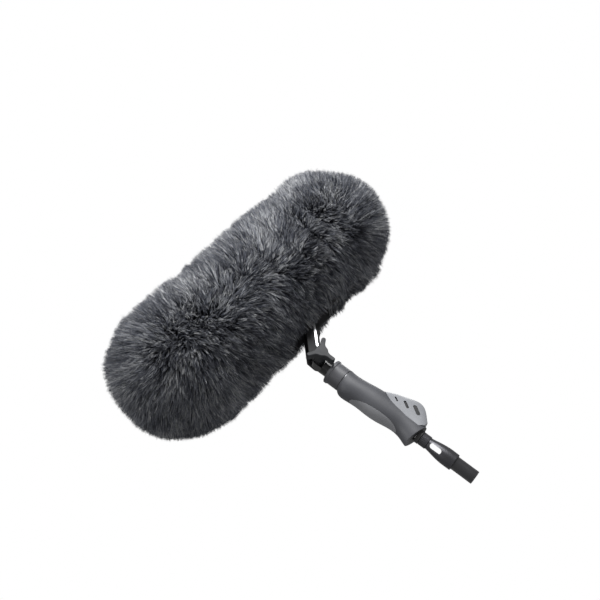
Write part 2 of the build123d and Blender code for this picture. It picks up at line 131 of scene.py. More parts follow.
class NodeKit:
    """One material's node tree, with a single way to add a node."""

    def __init__(self, name: str) -> None:
        """Makes an empty material with a Principled surface.

        Args:
            name: The material's name.
        """
        self.material = bpy.data.materials.new(name)
        self.material.use_nodes = True
        self.tree = self.material.node_tree
        self.surface = self.tree.nodes["Principled BSDF"]

    def link(self, source: object, target: bpy.types.NodeSocket) -> None:
        """Puts a value, a socket or a constant on an input socket.

        Args:
            source: What goes in.
            target: The input socket.
        """
        if isinstance(source, Value):
            source = source.socket
        if isinstance(source, bpy.types.NodeSocket):
            self.tree.links.new(source, target)
        else:
            target.default_value = source

    def add(self, kind: str, settings: dict, inputs: dict) -> bpy.types.Node:
        """Adds a node.

        Args:
            kind: The node's type.
            settings: Its own properties, set first.
            inputs: Constants, sockets or Values by input name or number.

        Returns:
            The node.
        """
        node = self.tree.nodes.new(kind)
        for key, setting in settings.items():
            setattr(node, key, setting)
        for key, source in inputs.items():
            self.link(source, node.inputs[key])
        return node

    def place(self, stretch: Colour = (1.0, 1.0, 1.0)) -> bpy.types.NodeSocket:
        """The surface point in the object's own metres.

        Args:
            stretch: Scale along each axis.

        Returns:
            A vector socket.
        """
        where = self.add("ShaderNodeTexCoord", {}, {}).outputs["Object"]
        if stretch == (1.0, 1.0, 1.0):
            return where
        return self.add("ShaderNodeMapping", {}, {"Vector": where, "Scale": stretch}).outputs[0]

    def noise(self, scale: float, detail: float = 2.0, stretch: Colour = (1.0, 1.0, 1.0)) -> Value:
        """Fractal noise from 0 to 1 on the surface point.

        Args:
            scale: Waves per metre.
            detail: Octaves.
            stretch: Scale along each axis.

        Returns:
            The noise.
        """
        inputs = {"Vector": self.place(stretch), "Scale": scale, "Detail": detail}
        return Value(self, self.add("ShaderNodeTexNoise", {}, inputs).outputs["Fac"])

    def ramp(self, source: Value, low: float, high: float) -> Value:
        """Stretches part of a value's range to 0 to 1.

        Args:
            source: The value.
            low: What becomes 0.
            high: What becomes 1.

        Returns:
            The clamped result.
        """
        inputs = {"Value": source, "From Min": low, "From Max": high}
        return Value(self, self.add("ShaderNodeMapRange", {"clamp": True}, inputs).outputs[0])

    def blend(self, amount: object, low: Colour, high: Colour) -> bpy.types.NodeSocket:
        """Mixes two colours.

        Args:
            amount: 0 gives low and 1 gives high.
            low: The first colour.
            high: The second colour.

        Returns:
            A colour socket.
        """
        node = self.add("ShaderNodeMix", {"data_type": "RGBA"}, {"Factor": amount})
        colours = [s for s in node.inputs if s.type == "RGBA"]
        for socket, colour in zip(colours, (low, high)):
            self.link((*colour, 1.0), socket)
        return next(s for s in node.outputs if s.type == "RGBA")

    def dent(self, height: Value, depth: float) -> None:
        """Bumps the surface.

        Args:
            height: The height from 0 to 1.
            depth: The bump's distance in metres.
        """
        inputs = {"Height": height, "Distance": depth, "Strength": 1.0}
        bump = self.add("ShaderNodeBump", {}, inputs)
        self.link(bump.outputs[0], self.surface.inputs["Normal"])

    def constant(self, **values: float) -> None:
        """Sets constants on the Principled surface, named with underscores for spaces."""
        for name, value in values.items():
            self.surface.inputs[name.replace("_", " ")].default_value = value


def lighter(colour: Colour, factor: float) -> Colour:
    """A colour times a factor."""
    return tuple(min(channel * factor, 1.0) for channel in colour)


# --- finishes -----------------------------------------------------------------------------


@dataclass(frozen=True)
class Moulding:
    """Moulded plastic or rubber with a fine grain, handling marks and soft colour drift."""

    name: str
    colour: Colour
    roughness: float = 0.5
    grain: float = 2600.0
    grain_depth: float = 0.00006
    drift: float = 0.18
    coat: float = 0.0
    specular: float = 0.5

    def make(self) -> bpy.types.Material:
        """Builds the material.

        Returns:
            The material.
        """
        kit = NodeKit(self.name)
        cloud = kit.noise(scale=38.0, detail=4.0)
        speck = kit.noise(scale=self.grain, detail=2.0)
        streak = kit.noise(scale=120.0, detail=5.0, stretch=(1.0, 1.0, 0.35))
        rub = kit.ramp(streak, low=0.45, high=0.75)
        tone = kit.ramp(cloud * 0.75 + speck * 0.25, low=0.3, high=0.7)
        low, high = lighter(self.colour, 1 - self.drift), lighter(self.colour, 1 + self.drift)
        kit.link(kit.blend(tone, low, high), kit.surface.inputs["Base Color"])
        kit.link(self.roughness + rub * 0.1 - speck * 0.06, kit.surface.inputs["Roughness"])
        kit.constant(Coat_Weight=self.coat, Coat_Roughness=0.12, Specular_IOR_Level=self.specular)
        kit.dent(speck + cloud * 0.3, self.grain_depth)
        return kit.material


@dataclass(frozen=True)
class Metal:
    """Turned or drawn metal with fine lines along one axis."""

    name: str
    colour: Colour
    roughness: float = 0.3
    lines: Colour = (1.0, 1.0, 30.0)
    metallic: float = 1.0

    def make(self) -> bpy.types.Material:
        """Builds the material.

        Returns:
            The material.
        """
        kit = NodeKit(self.name)
        line = kit.noise(scale=700.0, detail=3.0, stretch=self.lines)
        cloud = kit.noise(scale=55.0, detail=3.0)
        tone = kit.ramp(line * 0.5 + cloud * 0.5, low=0.3, high=0.7)
        colour = kit.blend(tone, lighter(self.colour, 0.82), lighter(self.colour, 1.12))
        kit.link(colour, kit.surface.inputs["Base Color"])
        kit.link(self.roughness + line * 0.14 - 0.05, kit.surface.inputs["Roughness"])
        kit.constant(Metallic=self.metallic)
        kit.dent(line, depth=0.00002)
        return kit.material


@dataclass(frozen=True)
class Weave:
    """Plain woven or knitted cloth, with its threads on the surface point."""

    name: str
    colour: Colour
    threads: float = 900.0
    depth: float = 0.00025

    def make(self) -> bpy.types.Material:
        """Builds the material.

        Returns:
            The material.
        """
        kit = NodeKit(self.name)
        across = self.wave(kit, "X")
        along = self.wave(kit, "Y")
        up = self.wave(kit, "Z")
        thread = (across + along + up) * 0.3333
        fuzz = kit.noise(scale=2200.0, detail=3.0)
        tone = kit.ramp(thread * 0.7 + fuzz * 0.3, low=0.25, high=0.75)
        colour = kit.blend(tone, lighter(self.colour, 0.5), lighter(self.colour, 1.5))
        kit.link(colour, kit.surface.inputs["Base Color"])
        kit.link(0.95 - fuzz * 0.1, kit.surface.inputs["Roughness"])
        kit.constant(Sheen_Weight=0.3, Sheen_Roughness=0.5)
        kit.dent(thread + fuzz * 0.4, self.depth)
        return kit.material

    def wave(self, kit: NodeKit, direction: str) -> Value:
        """One set of threads.

        Args:
            kit: The material's node kit.
            direction: The axis across the threads.

        Returns:
            The threads' height from 0 to 1.
        """
        settings = {"wave_type": "BANDS", "bands_direction": direction}
        inputs = {"Vector": kit.place(), "Scale": self.threads / math.tau, "Distortion": 0.6}
        return Value(kit, kit.add("ShaderNodeTexWave", settings, inputs).outputs["Fac"])


class Finish(Enum):
    """Every finish of the hard pieces; the washer's dark metal is painted seam shade and the yoke
    strips' pale metal is a painted highlight.
    """

    GRIP = Moulding("soft_touch_grey", (0.056, 0.058, 0.066), 0.56, grain=1800.0, drift=0.12)
    INLAY = Moulding("soft_touch_light", (0.19, 0.193, 0.205), 0.6, grain=1500.0, drift=0.1)
    TAIL = Moulding("pale_moulding", (0.225, 0.232, 0.248), 0.45, grain=2400.0, drift=0.08)
    PAD = Moulding("dark_pad", (0.012, 0.013, 0.015), 0.6)
    COLLAR = Moulding("collar_moulding", (0.07, 0.071, 0.079), 0.46, drift=0.15)
    YOKE = Moulding("black_moulding", (0.012, 0.0125, 0.014), 0.6, specular=0.3)
    KNOB = Moulding("knob_moulding", (0.02, 0.021, 0.024), 0.55, specular=0.35)
    NECK = Moulding("neck_black", (0.009, 0.009, 0.01), 0.3, grain=900.0, coat=0.3)
    # dark metal on the collar washer: painted shade in the seam between collar and grip
    WASHER = Metal("washer_painted_seam_shade", (0.2, 0.2, 0.21), 0.25)
    INNER = Moulding("inner_black", (0.03, 0.03, 0.031), 0.55)
    BASKET = Moulding("basket_grey", (0.07, 0.07, 0.073), 0.5)
    POLE = Moulding("pole_lacquer", (0.018, 0.018, 0.02), 0.24, grain=600.0, coat=0.6)
    TIP = Metal("black_anodised", (0.06, 0.06, 0.066), 0.34, metallic=0.7)
    # pale metal on the yoke strips: a painted highlight along the glossy black fork arm
    BRIGHT = Metal("painted_highlight_aluminium", (0.72, 0.73, 0.75), 0.3)
    STEEL = Metal("zinc_steel", (0.55, 0.55, 0.57), 0.32, lines=(1.0, 30.0, 1.0))
    BRASS = Metal("turned_brass", (0.75, 0.58, 0.28), 0.3)
    BINDING = Weave("black_binding", (0.02, 0.02, 0.022), threads=1500.0)
    BACKING = Weave("dark_knit", (0.022, 0.023, 0.026), threads=700.0)


DRESS: dict[Finish, tuple[str, ...]] = {
    Finish.GRIP: ("grip_sleeve",),
    Finish.INLAY: ("grip_inlay",),
    Finish.TAIL: ("grip_tail",),
    Finish.PAD: ("tail_pads",),
    Finish.COLLAR: ("lock_collar",),
    Finish.YOKE: ("yoke", "yoke_saddle"),
    Finish.KNOB: ("tilt_knob",),
    Finish.NECK: ("neck",),
    Finish.POLE: ("pole_tube",),
    Finish.TIP: ("pole_tip", "pole_lock_ring"),
    # the yoke strips carry a painted highlight
    Finish.BRIGHT: ("yoke_strips",),
    # the collar washer carries painted seam shade
    Finish.WASHER: ("collar_washer",),
    Finish.BRASS: ("grip_insert",),
    Finish.INNER: (
        "grip_core", "base_cap", "neck_bush", "chassis_rail", "zip_tape", "zip_slider",
        "front_carriage", "rear_carriage", "front_lyre", "rear_lyre", "front_clip", "rear_clip",
    ),
    Finish.BASKET: ("basket_tube", "front_ring", "rear_ring", "front_cap", "rear_cap"),
    Finish.STEEL: (
        "pole_stud", "friction_washers", "tilt_bolt", "tilt_nut", "saddle_screws",
        "front_screw", "rear_screw",
    ),
}


# --- hand tools ---------------------------------------------------------------------------


def clear_selection() -> None:
    """Leaves nothing selected."""
    bpy.ops.object.select_all(action="DESELECT")


def pick(piece: bpy.types.Object, element: str, rule: Callable[[Vector], bool]) -> None:
    """Selects a piece's faces, edges or vertices in edit mode.

    Args:
        piece: The piece in edit mode.
        element: faces, edges or verts.
        rule: Takes an element's middle and says whether it is chosen.
    """
    bpy.ops.mesh.select_mode(type={"faces": "FACE", "edges": "EDGE", "verts": "VERT"}[element])
    bpy.ops.mesh.select_all(action="DESELECT")
    shape = bmesh.from_edit_mesh(piece.data)
    for item in getattr(shape, element):
        if element == "verts":
            middle = item.co
        else:
            middle = sum((v.co for v in item.verts), Vector()) / len(item.verts)
        item.select = rule(middle)
    shape.select_flush(True)
    bmesh.update_edit_mesh(piece.data)


def settle(piece: bpy.types.Object) -> None:
    """Applies a piece's place, turn and scale to its mesh.

    Args:
        piece: The piece.
    """
    clear_selection()
    piece.select_set(True)
    bpy.context.view_layer.objects.active = piece
    bpy.ops.object.transform_apply(location=True, rotation=True, scale=True)


def apply_modifier(piece: bpy.types.Object, kind: str, **settings: object) -> None:
    """Adds a modifier and applies it.

    Args:
        piece: The piece.
        kind: The modifier's type.
        **settings: The modifier's properties.
    """
    clear_selection()
    piece.select_set(True)
    bpy.context.view_layer.objects.active = piece
    modifier = piece.modifiers.new(kind.lower(), kind)
    for key, setting in settings.items():
        setattr(modifier, key, setting)
    bpy.ops.object.modifier_apply(modifier=modifier.name)


# --- fur ----------------------------------------------------------------------------------


class DyeAndPileShade(Enum):
    """The pile's dyes from dark to light, each with its lower and upper colour; the lower colour
    is darker as painted shade deep in the pile.
    """

    # each dye: lower colour, then upper colour; the lower is darker as painted shade deep in the
    # pile
    COAL = ((0.016, 0.018, 0.024), (0.028, 0.031, 0.041))
    SLATE = ((0.028, 0.031, 0.042), (0.060, 0.066, 0.086))
    LEAD = ((0.050, 0.053, 0.064), (0.115, 0.122, 0.142))
    STEEL = ((0.080, 0.083, 0.093), (0.20, 0.208, 0.226))
    ASH = ((0.125, 0.130, 0.138), (0.33, 0.338, 0.352))
    SILVER = ((0.18, 0.184, 0.19), (0.48, 0.488, 0.50))


class Stretch(Enum):
    """The three sewn sections of the cover, by the CAD node each stands for."""

    FRONT = "fur_front"
    BODY = "fur_body"
    REAR = "fur_rear"


@dataclass
class HairTaper:
    """One hair as a three-sided taper with an open root, modelled once and planted often."""

    base: float = 0.55
    bend: float = 0.52
    bend_width: float = 0.85
    sides: int = 3

    def make(self) -> tuple[np.ndarray, list[tuple[int, ...]]]:
        """Models the hair: unit width across X and Y, unit length along Z.

        Returns:
            Its points, and its faces from root to tip.
        """
        clear_selection()
        bpy.ops.mesh.primitive_circle_add(vertices=self.sides, radius=self.base)
        hair = bpy.context.object
        bpy.ops.object.mode_set(mode="EDIT")
        bpy.ops.mesh.select_all(action="SELECT")
        bpy.ops.mesh.extrude_region_move(TRANSFORM_OT_translate={"value": (0.0, 0.0, self.bend)})
        bpy.ops.transform.resize(value=(self.bend_width, self.bend_width, 1.0))
        bpy.ops.mesh.extrude_region_move(
            TRANSFORM_OT_translate={"value": (0.0, 0.0, 1.0 - self.bend)}
        )
        bpy.ops.mesh.merge(type="CENTER")
        bpy.ops.mesh.select_all(action="SELECT")
        bpy.ops.mesh.normals_make_consistent(inside=False)
        bpy.ops.object.mode_set(mode="OBJECT")
        mesh = hair.data
        points = np.array([tuple(vertex.co) for vertex in mesh.vertices])
        order = np.lexsort((np.arange(len(points)), points[:, 2].round(4)))
        index = {int(old): new for new, old in enumerate(order)}
        faces = sorted(
            (tuple(index[i] for i in face.vertices) for face in mesh.polygons),
            key=lambda face: (max(face) == len(points) - 1, face),
        )
        bpy.data.objects.remove(hair)
        points = points[order]
        points[:, 2] = np.clip(points[:, 2], 0.0, 1.0)
        return points, faces


@dataclass
class FurCover:
    """The long-haired cover: knitted backing in three sections, pile and bound opening."""

    hair_width: float = 0.85 * MM
    hair_length: float = 33.0 * MM
    length_spread: float = 1.3 * MM
    backing_thickness: float = 1.0 * MM
    droop: float = 0.3
    seam_reach: float = 15.0 * MM
    seam_dip: float = 4.5 * MM
    seam_lean: float = 0.06
    skin_gap: float = 2.0 * MM
    root_lean: float = 0.25
    tip_lean: float = 1.9
    lean_scatter: float = 0.14
    gather_curve: float = 1.3
    width_spread: tuple[float, float] = (0.75, 1.3)
    opening_margin: float = 1.0 * MM
    fringe_reach: float = 12.0 * MM
    fringe_end: float = 14.0 * MM
    fringe_pull: float = 0.55
    zip_margin: float = 2.6 * MM
    zip_overrun: float = 4.0 * MM
    zip_reach: float = 6.0 * MM
    zip_pull: float = 0.45
    dye_middle: float = 1.9
    lock_scatter: float = 1.2
    own_scatter: float = 0.9
    lock_pull: float = 0.8
    hairs_per_lock: int = 4
    tuft_pull: float = 0.3
    hairs_per_tuft: int = 26
    roundness: float = 0.66
    sparkle: float = 0.34
    seed: int = 11
    hair_counts: dict[Stretch, int] = field(
        default_factory=lambda: {
            Stretch.FRONT: 65000, Stretch.BODY: 65000, Stretch.REAR: 43500,
        }
    )
    pieces_per_section: dict[Stretch, int] = field(
        default_factory=lambda: {Stretch.FRONT: 3, Stretch.BODY: 3, Stretch.REAR: 2}
    )

    def __post_init__(self) -> None:
        """Reads the cover's places from the frame."""
        low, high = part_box("fur_body")
        self.rear_seam, self.front_seam = low.x, high.x
        ring_low, ring_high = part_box("front_ring")
        self.axis = (ring_low.z + ring_high.z) / 2
        self.front_centre = ring_high.x
        self.rear_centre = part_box("rear_ring")[0].x
        self.skin = (ring_high.z - ring_low.z) / 2 + self.skin_gap
        self.gap_low, self.gap_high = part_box("opening_binding")
        self.zip_low, self.zip_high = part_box("zip_tape")
        self.zip_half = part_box("zip_slider")[1].y + self.zip_margin
        self.rng = np.random.default_rng(self.seed)
        self.down = np.array([0.583, -0.586, -0.563])

    # backing

    def backing(self) -> dict[Stretch, bpy.types.Object]:
        """Models the knitted backing of each section as a thin closed shell.

        Returns:
            The three panels.
        """
        panels = {}
        spans = {
            Stretch.FRONT: (self.front_seam, self.front_centre, 1),
            Stretch.BODY: (self.rear_seam, self.front_seam, 0),
            Stretch.REAR: (self.rear_seam, self.rear_centre, -1),
        }
        for section, (start, end, way) in spans.items():
            panel = self.dome(start, end, way) if way else self.barrel(start, end)
            apply_modifier(panel, "SOLIDIFY", thickness=self.backing_thickness, offset=-1.0)
            if section is Stretch.BODY:
                self.cut_opening(panel)
            panel.name = panel.data.name = section.value.replace("fur", "backing")
            panel.data.materials.append(Finish.BACKING.value.make())
            panels[section] = panel
        return panels

    def barrel(self, start: float, end: float) -> bpy.types.Object:
        """A tube along X at the skin's radius.

        Args:
            start: Its lower X.
            end: Its upper X.

        Returns:
            The open tube.
        """
        clear_selection()
        bpy.ops.mesh.primitive_cylinder_add(
            vertices=96, radius=self.skin, depth=end - start, end_fill_type="NOTHING",
            location=((start + end) / 2, 0.0, self.axis), rotation=(0.0, math.pi / 2, 0.0),
        )
        panel = bpy.context.object
        settle(panel)
        return panel

    def dome(self, start: float, end: float, way: int) -> bpy.types.Object:
        """A half ball at the section's free end, drawn out to the seam.

        Args:
            start: The seam's X.
            end: The ball's centre along X.
            way: 1 for the front and -1 for the rear.

        Returns:
            The open shell.
        """
        tolerance = 1e-5
        clear_selection()
        bpy.ops.mesh.primitive_uv_sphere_add(
            segments=96, ring_count=48, radius=self.skin,
            location=(end, 0.0, self.axis), rotation=(0.0, math.pi / 2, 0.0),
        )
        panel = bpy.context.object
        settle(panel)
        bpy.ops.object.mode_set(mode="EDIT")
        pick(panel, "verts", lambda middle: (middle.x - end) * way < -tolerance)
        bpy.ops.mesh.delete(type="VERT")
        pick(panel, "edges", lambda middle: abs(middle.x - end) < tolerance)
        bpy.ops.mesh.extrude_region_move(
            TRANSFORM_OT_translate={"value": (start - end, 0.0, 0.0)}
        )
        bpy.ops.mesh.select_all(action="SELECT")
        bpy.ops.mesh.normals_make_consistent(inside=False)
        bpy.ops.object.mode_set(mode="OBJECT")
        return panel

    def cut_opening(self, panel: bpy.types.Object) -> None:
        """Cuts the opening for the fork out of the body panel.

        Args:
            panel: The body's backing.
        """
        depth = 60 * MM
        clear_selection()
        bpy.ops.mesh.primitive_cube_add(size=1.0)
        cutter = bpy.context.object
        size = self.gap_high - self.gap_low
        cutter.scale = (size.x, size.y, depth)
        cutter.location = ((self.gap_low.x + self.gap_high.x) / 2, 0.0, self.axis - self.skin)
        settle(cutter)
        apply_modifier(panel, "BOOLEAN", operation="DIFFERENCE", object=cutter, solver="EXACT")
        bpy.data.objects.remove(cutter)

    def binding(self) -> bpy.types.Object:
        """Models the woven binding round the opening as a rolled band.

        Returns:
            The band.
        """
        low, high = self.gap_low, self.gap_high
        lift, inset, corner = 0.8 * MM, 1.6 * MM, 6.5 * MM
        rows, row = 6, 3.6 * MM
        clear_selection()
        bpy.ops.mesh.primitive_plane_add(
            size=1.0, location=((low.x + high.x) / 2, 0.0, low.z + lift)
        )
        band = bpy.context.object
        band.scale = (high.x - low.x - inset, high.y - low.y - inset, 1.0)
        settle(band)
        bpy.ops.object.mode_set(mode="EDIT")
        bpy.ops.mesh.select_all(action="SELECT")
        bpy.ops.mesh.bevel(offset=corner, segments=6, affect="VERTICES")
        bpy.ops.mesh.delete(type="ONLY_FACE")
        bpy.ops.mesh.select_all(action="SELECT")
        for _ in range(rows):
            bpy.ops.mesh.extrude_region_move(TRANSFORM_OT_translate={"value": (0.0, 0.0, row)})
        bpy.ops.mesh.select_all(action="SELECT")
        bpy.ops.mesh.normals_make_consistent(inside=False)
        bpy.ops.object.mode_set(mode="OBJECT")
        apply_modifier(band, "SOLIDIFY", thickness=1.5 * MM, offset=0.0)
        apply_modifier(band, "BEVEL", width=0.6 * MM, segments=3)
        band.name = band.data.name = "opening_hem"
        band.data.materials.append(Finish.BINDING.value.make())
        return band

    # pile

    def roots(self, section: Stretch) -> tuple[np.ndarray, np.ndarray]:
        """Scatters hair roots evenly by the area at the pile's tips.

        Args:
            section: The sewn section.

        Returns:
            Root points and outward normals.
        """
        count = self.hair_counts[section]
        tip_radius = self.skin + self.hair_length
        start, end = {
            Stretch.FRONT: (self.front_seam, self.front_centre),
            Stretch.BODY: (self.rear_seam, self.front_seam),
            Stretch.REAR: (self.rear_centre, self.rear_seam),
        }[section]
        barrel_area = math.tau * tip_radius * (end - start)
        dome_area = 0.0 if section is Stretch.BODY else math.tau * tip_radius**2
        on_dome = int(count * dome_area / (barrel_area + dome_area))
        on_barrel = count - on_dome
        angle = self.rng.uniform(0.0, math.tau, on_barrel)
        normals = np.stack([np.zeros(on_barrel), np.cos(angle), np.sin(angle)], 1)
        along = self.rng.uniform(start, end, on_barrel)
        points = normals * self.skin + np.stack([along, 0 * along, 0 * along + self.axis], 1)
        if on_dome:
            way = 1.0 if section is Stretch.FRONT else -1.0
            centre = self.front_centre if section is Stretch.FRONT else self.rear_centre
            height = self.rng.uniform(0.0, 1.0, on_dome)
            turn = self.rng.uniform(0.0, math.tau, on_dome)
            flat = np.sqrt(1.0 - height**2)
            cap = np.stack([way * height, flat * np.cos(turn), flat * np.sin(turn)], 1)
            points = np.concatenate([points, cap * self.skin + [centre, 0.0, self.axis]])
            normals = np.concatenate([normals, cap])
        margin = self.opening_margin
        inside = (
            (points[:, 2] < self.axis)
            & (np.abs(points[:, 1]) < self.gap_high.y + margin)
            & (points[:, 0] > self.gap_low.x - margin)
            & (points[:, 0] < self.gap_high.x + margin)
        )
        keep = ~inside & (self.off_zip(points) > 0.0)
        return points[keep], normals[keep]

    def off_zip(self, points: np.ndarray) -> np.ndarray:
        """How far each point lies outside the zip slider's run under the cover.

        Args:
            points: The points.

        Returns:
            The distances in metres, negative inside the run, and 1.0 above the axis.
        """
        along = np.maximum(
            self.zip_low.x - self.zip_overrun - points[:, 0], points[:, 0] - self.zip_high.x
        )
        off = np.maximum(np.abs(points[:, 1]) - self.zip_half, along)
        return np.where(points[:, 2] < self.axis, off, 1.0)

    def swirl(self, points: np.ndarray, wave: float, seed: int) -> np.ndarray:
        """A smooth random vector field.

        Args:
            points: Where it is read.
            wave: Its wavelength.
            seed: Its seed.

        Returns:
            One vector for each point, each part about -1 to 1.
        """
        rng = np.random.default_rng(seed)
        total = np.zeros_like(points)
        for _ in range(7):
            heading = rng.normal(size=3)
            heading *= rng.uniform(0.7, 1.5) / np.linalg.norm(heading)
            phase = points @ heading * math.tau / wave + rng.uniform(0.0, math.tau)
            total += np.sin(phase)[:, None] * rng.normal(size=3)
        return total / 2.6

    def comb(self, points: np.ndarray, normals: np.ndarray) -> tuple[np.ndarray, np.ndarray]:
        """How the pile lies: each hair's lean from its normal, and its length.

        Args:
            points: Root points.
            normals: Outward normals.

        Returns:
            Lean vectors and lengths.
        """
        count = len(points)
        lean = self.down * self.droop
        wide = self.swirl(points, wave=95 * MM, seed=3)
        fine = self.swirl(points, wave=34 * MM, seed=4)
        lean = lean + wide * 0.2 + fine * 0.15
        lean = lean + self.rng.normal(scale=self.lean_scatter, size=(count, 3))
        length = self.hair_length + self.rng.normal(scale=self.length_spread, size=count)
        length += self.swirl(points, wave=60 * MM, seed=5)[:, 0] * 1.6 * MM
        for seam in (self.rear_seam, self.front_seam):
            off = points[:, 0] - seam
            near = np.exp(-((off / self.seam_reach) ** 2))
            lean[:, 0] += np.sign(off) * near * self.seam_lean
            length -= near * self.seam_dip
        lean += self.fringe(points)
        cover = np.exp(-self.off_zip(points) / self.zip_reach)
        lean[:, 1] -= np.sign(points[:, 1]) * cover * self.zip_pull
        lean -= normals * np.sum(lean * normals, 1)[:, None]
        return lean, length

    def fringe(self, points: np.ndarray) -> np.ndarray:
        """The lean that closes the pile over the opening's bound edge.

        Args:
            points: Root points.

        Returns:
            Lean vectors.
        """
        half = 1 * MM
        nearest = np.stack([
            np.clip(
                points[:, 0], self.gap_low.x + self.fringe_end, self.gap_high.x - self.fringe_end
            ),
            np.clip(points[:, 1], -half, half),
        ], 1)
        inward = nearest - points[:, :2]
        off = np.maximum(
            np.abs(points[:, 1]) - self.gap_high.y,
            np.maximum(self.gap_low.x - points[:, 0], points[:, 0] - self.gap_high.x),
        )
        share = np.exp(-np.maximum(off, 0.0) / self.fringe_reach) * (points[:, 2] < self.axis)
        pull = inward / np.maximum(np.linalg.norm(inward, axis=1), MM)[:, None]
        pull = pull * self.fringe_pull
        return np.concatenate([pull, 0 * pull[:, :1]], 1) * share[:, None]

    def plant(
        self, points: np.ndarray, normals: np.ndarray, hair: np.ndarray
    ) -> tuple[np.ndarray, np.ndarray, np.ndarray]:
        """Bends a copy of the modelled hair along each hair's way.

        Args:
            points: Root points.
            normals: Outward normals.
            hair: The modelled hair's points.

        Returns:
            The hairs' vertices, their shading normals, and each hair's lock number.
        """
        lean, length = self.comb(points, normals)
        start = normals + lean * self.root_lean
        start /= np.linalg.norm(start, axis=1)[:, None]
        end = normals + lean * self.tip_lean
        end /= np.linalg.norm(end, axis=1)[:, None]
        locks = self.gather(points, self.hairs_per_lock)
        tufts = self.gather(points, self.hairs_per_tuft)
        level = hair[:, 2][None, :, None]
        size = length[:, None, None]
        spine = points[:, None] + size * (
            start[:, None] * (level - level**2 / 2) + end[:, None] * level**2 / 2
        )
        curve = level**self.gather_curve
        spine = spine + (spine[locks] - spine) * self.lock_pull * curve
        spine = spine + (spine[tufts] - spine) * self.tuft_pull * curve
        heading = spine[:, -1] - spine[:, 0]
        heading /= np.linalg.norm(heading, axis=1)[:, None]
        across = np.cross(self.rng.normal(size=normals.shape), heading)
        across /= np.linalg.norm(across, axis=1)[:, None]
        facing = np.cross(heading, across)
        ring = (
            across[:, None] * hair[:, 0][None, :, None]
            + facing[:, None] * hair[:, 1][None, :, None]
        )
        widths = self.rng.uniform(*self.width_spread, len(points))
        width = self.hair_width * widths[:, None, None]
        glow = normals[:, None] * self.roundness + ring * 2.0 * (1.0 - self.roundness)
        glow = glow + self.rng.normal(scale=self.sparkle, size=normals.shape)[:, None]
        glow /= np.linalg.norm(glow, axis=2, keepdims=True)
        return spine + ring * width, glow, locks

    def gather(self, points: np.ndarray, share: int) -> np.ndarray:
        """Gathers hairs round leaders.

        Args:
            points: Root points.
            share: How many hairs follow one leader.

        Returns:
            For each hair, the index of its leading hair.
        """
        leaders = self.rng.choice(len(points), len(points) // share, replace=False)
        tree = KDTree(len(leaders))
        for leader in leaders:
            tree.insert(points[leader], int(leader))
        tree.balance()
        return np.array([tree.find(point)[1] for point in points])

    def dyes(self, points: np.ndarray, locks: np.ndarray) -> np.ndarray:
        """Picks each hair's dye: patches, locks and single light or dark hairs.

        Args:
            points: Root points.
            locks: Each hair's lock number.

        Returns:
            Each hair's dye number.
        """
        wide = self.swirl(points, wave=48 * MM, seed=8)[:, 0]
        fine = self.swirl(points, wave=20 * MM, seed=9)[:, 0]
        patch = wide * 0.5 + fine * 0.4
        lock = self.rng.normal(scale=self.lock_scatter, size=len(points))[locks]
        own = self.rng.normal(scale=self.own_scatter, size=len(points))
        number = np.round(self.dye_middle + patch + lock + own)
        return np.clip(number, 0, len(DyeAndPileShade) - 1).astype(int)

    def pile(self, section: Stretch) -> list[bpy.types.Object]:
        """Plants one section's hair, split round the axis into pieces.

        Args:
            section: The sewn section.

        Returns:
            The pile's pieces.
        """
        hair, faces = HairTaper().make()
        points, normals = self.roots(section)
        hairs, glow, locks = self.plant(points, normals, hair)
        shade = self.dyes(points, locks)
        turn = np.argsort(np.arctan2(normals[:, 1], normals[:, 2]), kind="stable")
        pieces = []
        for number, share in enumerate(np.array_split(turn, self.pieces_per_section[section]), 1):
            name = f"{section.value}_pile_{number}"
            pieces.append(self.weave_in(name, hairs[share], glow[share], shade[share], faces))
        return pieces

    def weave_in(
        self, name: str, hairs: np.ndarray, glow: np.ndarray, shade: np.ndarray,
        faces: list[tuple[int, ...]],
    ) -> bpy.types.Object:
        """Makes one mesh of many hairs, with a material slot for each dye and height; the lower
        faces take the darker colour, painted shade deep in the pile.

        Args:
            name: The piece's name.
            hairs: Vertices by hair.
            glow: Shading normals by hair.
            shade: Dye numbers by hair.
            faces: One hair's faces from root to tip.

        Returns:
            The piece.
        """
        count, corners = hairs.shape[0], hairs.shape[1]
        loops = np.concatenate(
            [np.arange(count)[:, None] * corners + np.array(face) for face in faces], axis=1
        )
        totals = np.tile([len(face) for face in faces], count)
        mesh = bpy.data.meshes.new(name)
        mesh.vertices.add(count * corners)
        mesh.vertices.foreach_set("co", hairs.astype(np.float32).ravel())
        mesh.loops.add(loops.size)
        mesh.loops.foreach_set("vertex_index", loops.astype(np.int32).ravel())
        mesh.polygons.add(count * len(faces))
        starts = np.concatenate([[0], np.cumsum(totals)[:-1]])
        mesh.polygons.foreach_set("loop_start", starts.astype(np.int32))
        # lower faces take each dye's darker colour: painted shade deep in the pile
        heights = len(DyeAndPileShade.COAL.value)
        height = np.arange(len(faces)) * heights // len(faces)
        slots = shade[:, None] * heights + height[None, :]
        mesh.polygons.foreach_set("material_index", slots.astype(np.int32).ravel())
        mesh.polygons.foreach_set("use_smooth", np.ones(count * len(faces), bool))
        for material in self.hair_materials():
            mesh.materials.append(material)
        mesh.update(calc_edges=True)
        mesh.normals_split_custom_set_from_vertices(glow.reshape(-1, 3))
        piece = bpy.data.objects.new(name, mesh)
        bpy.context.scene.collection.objects.link(piece)
        return piece

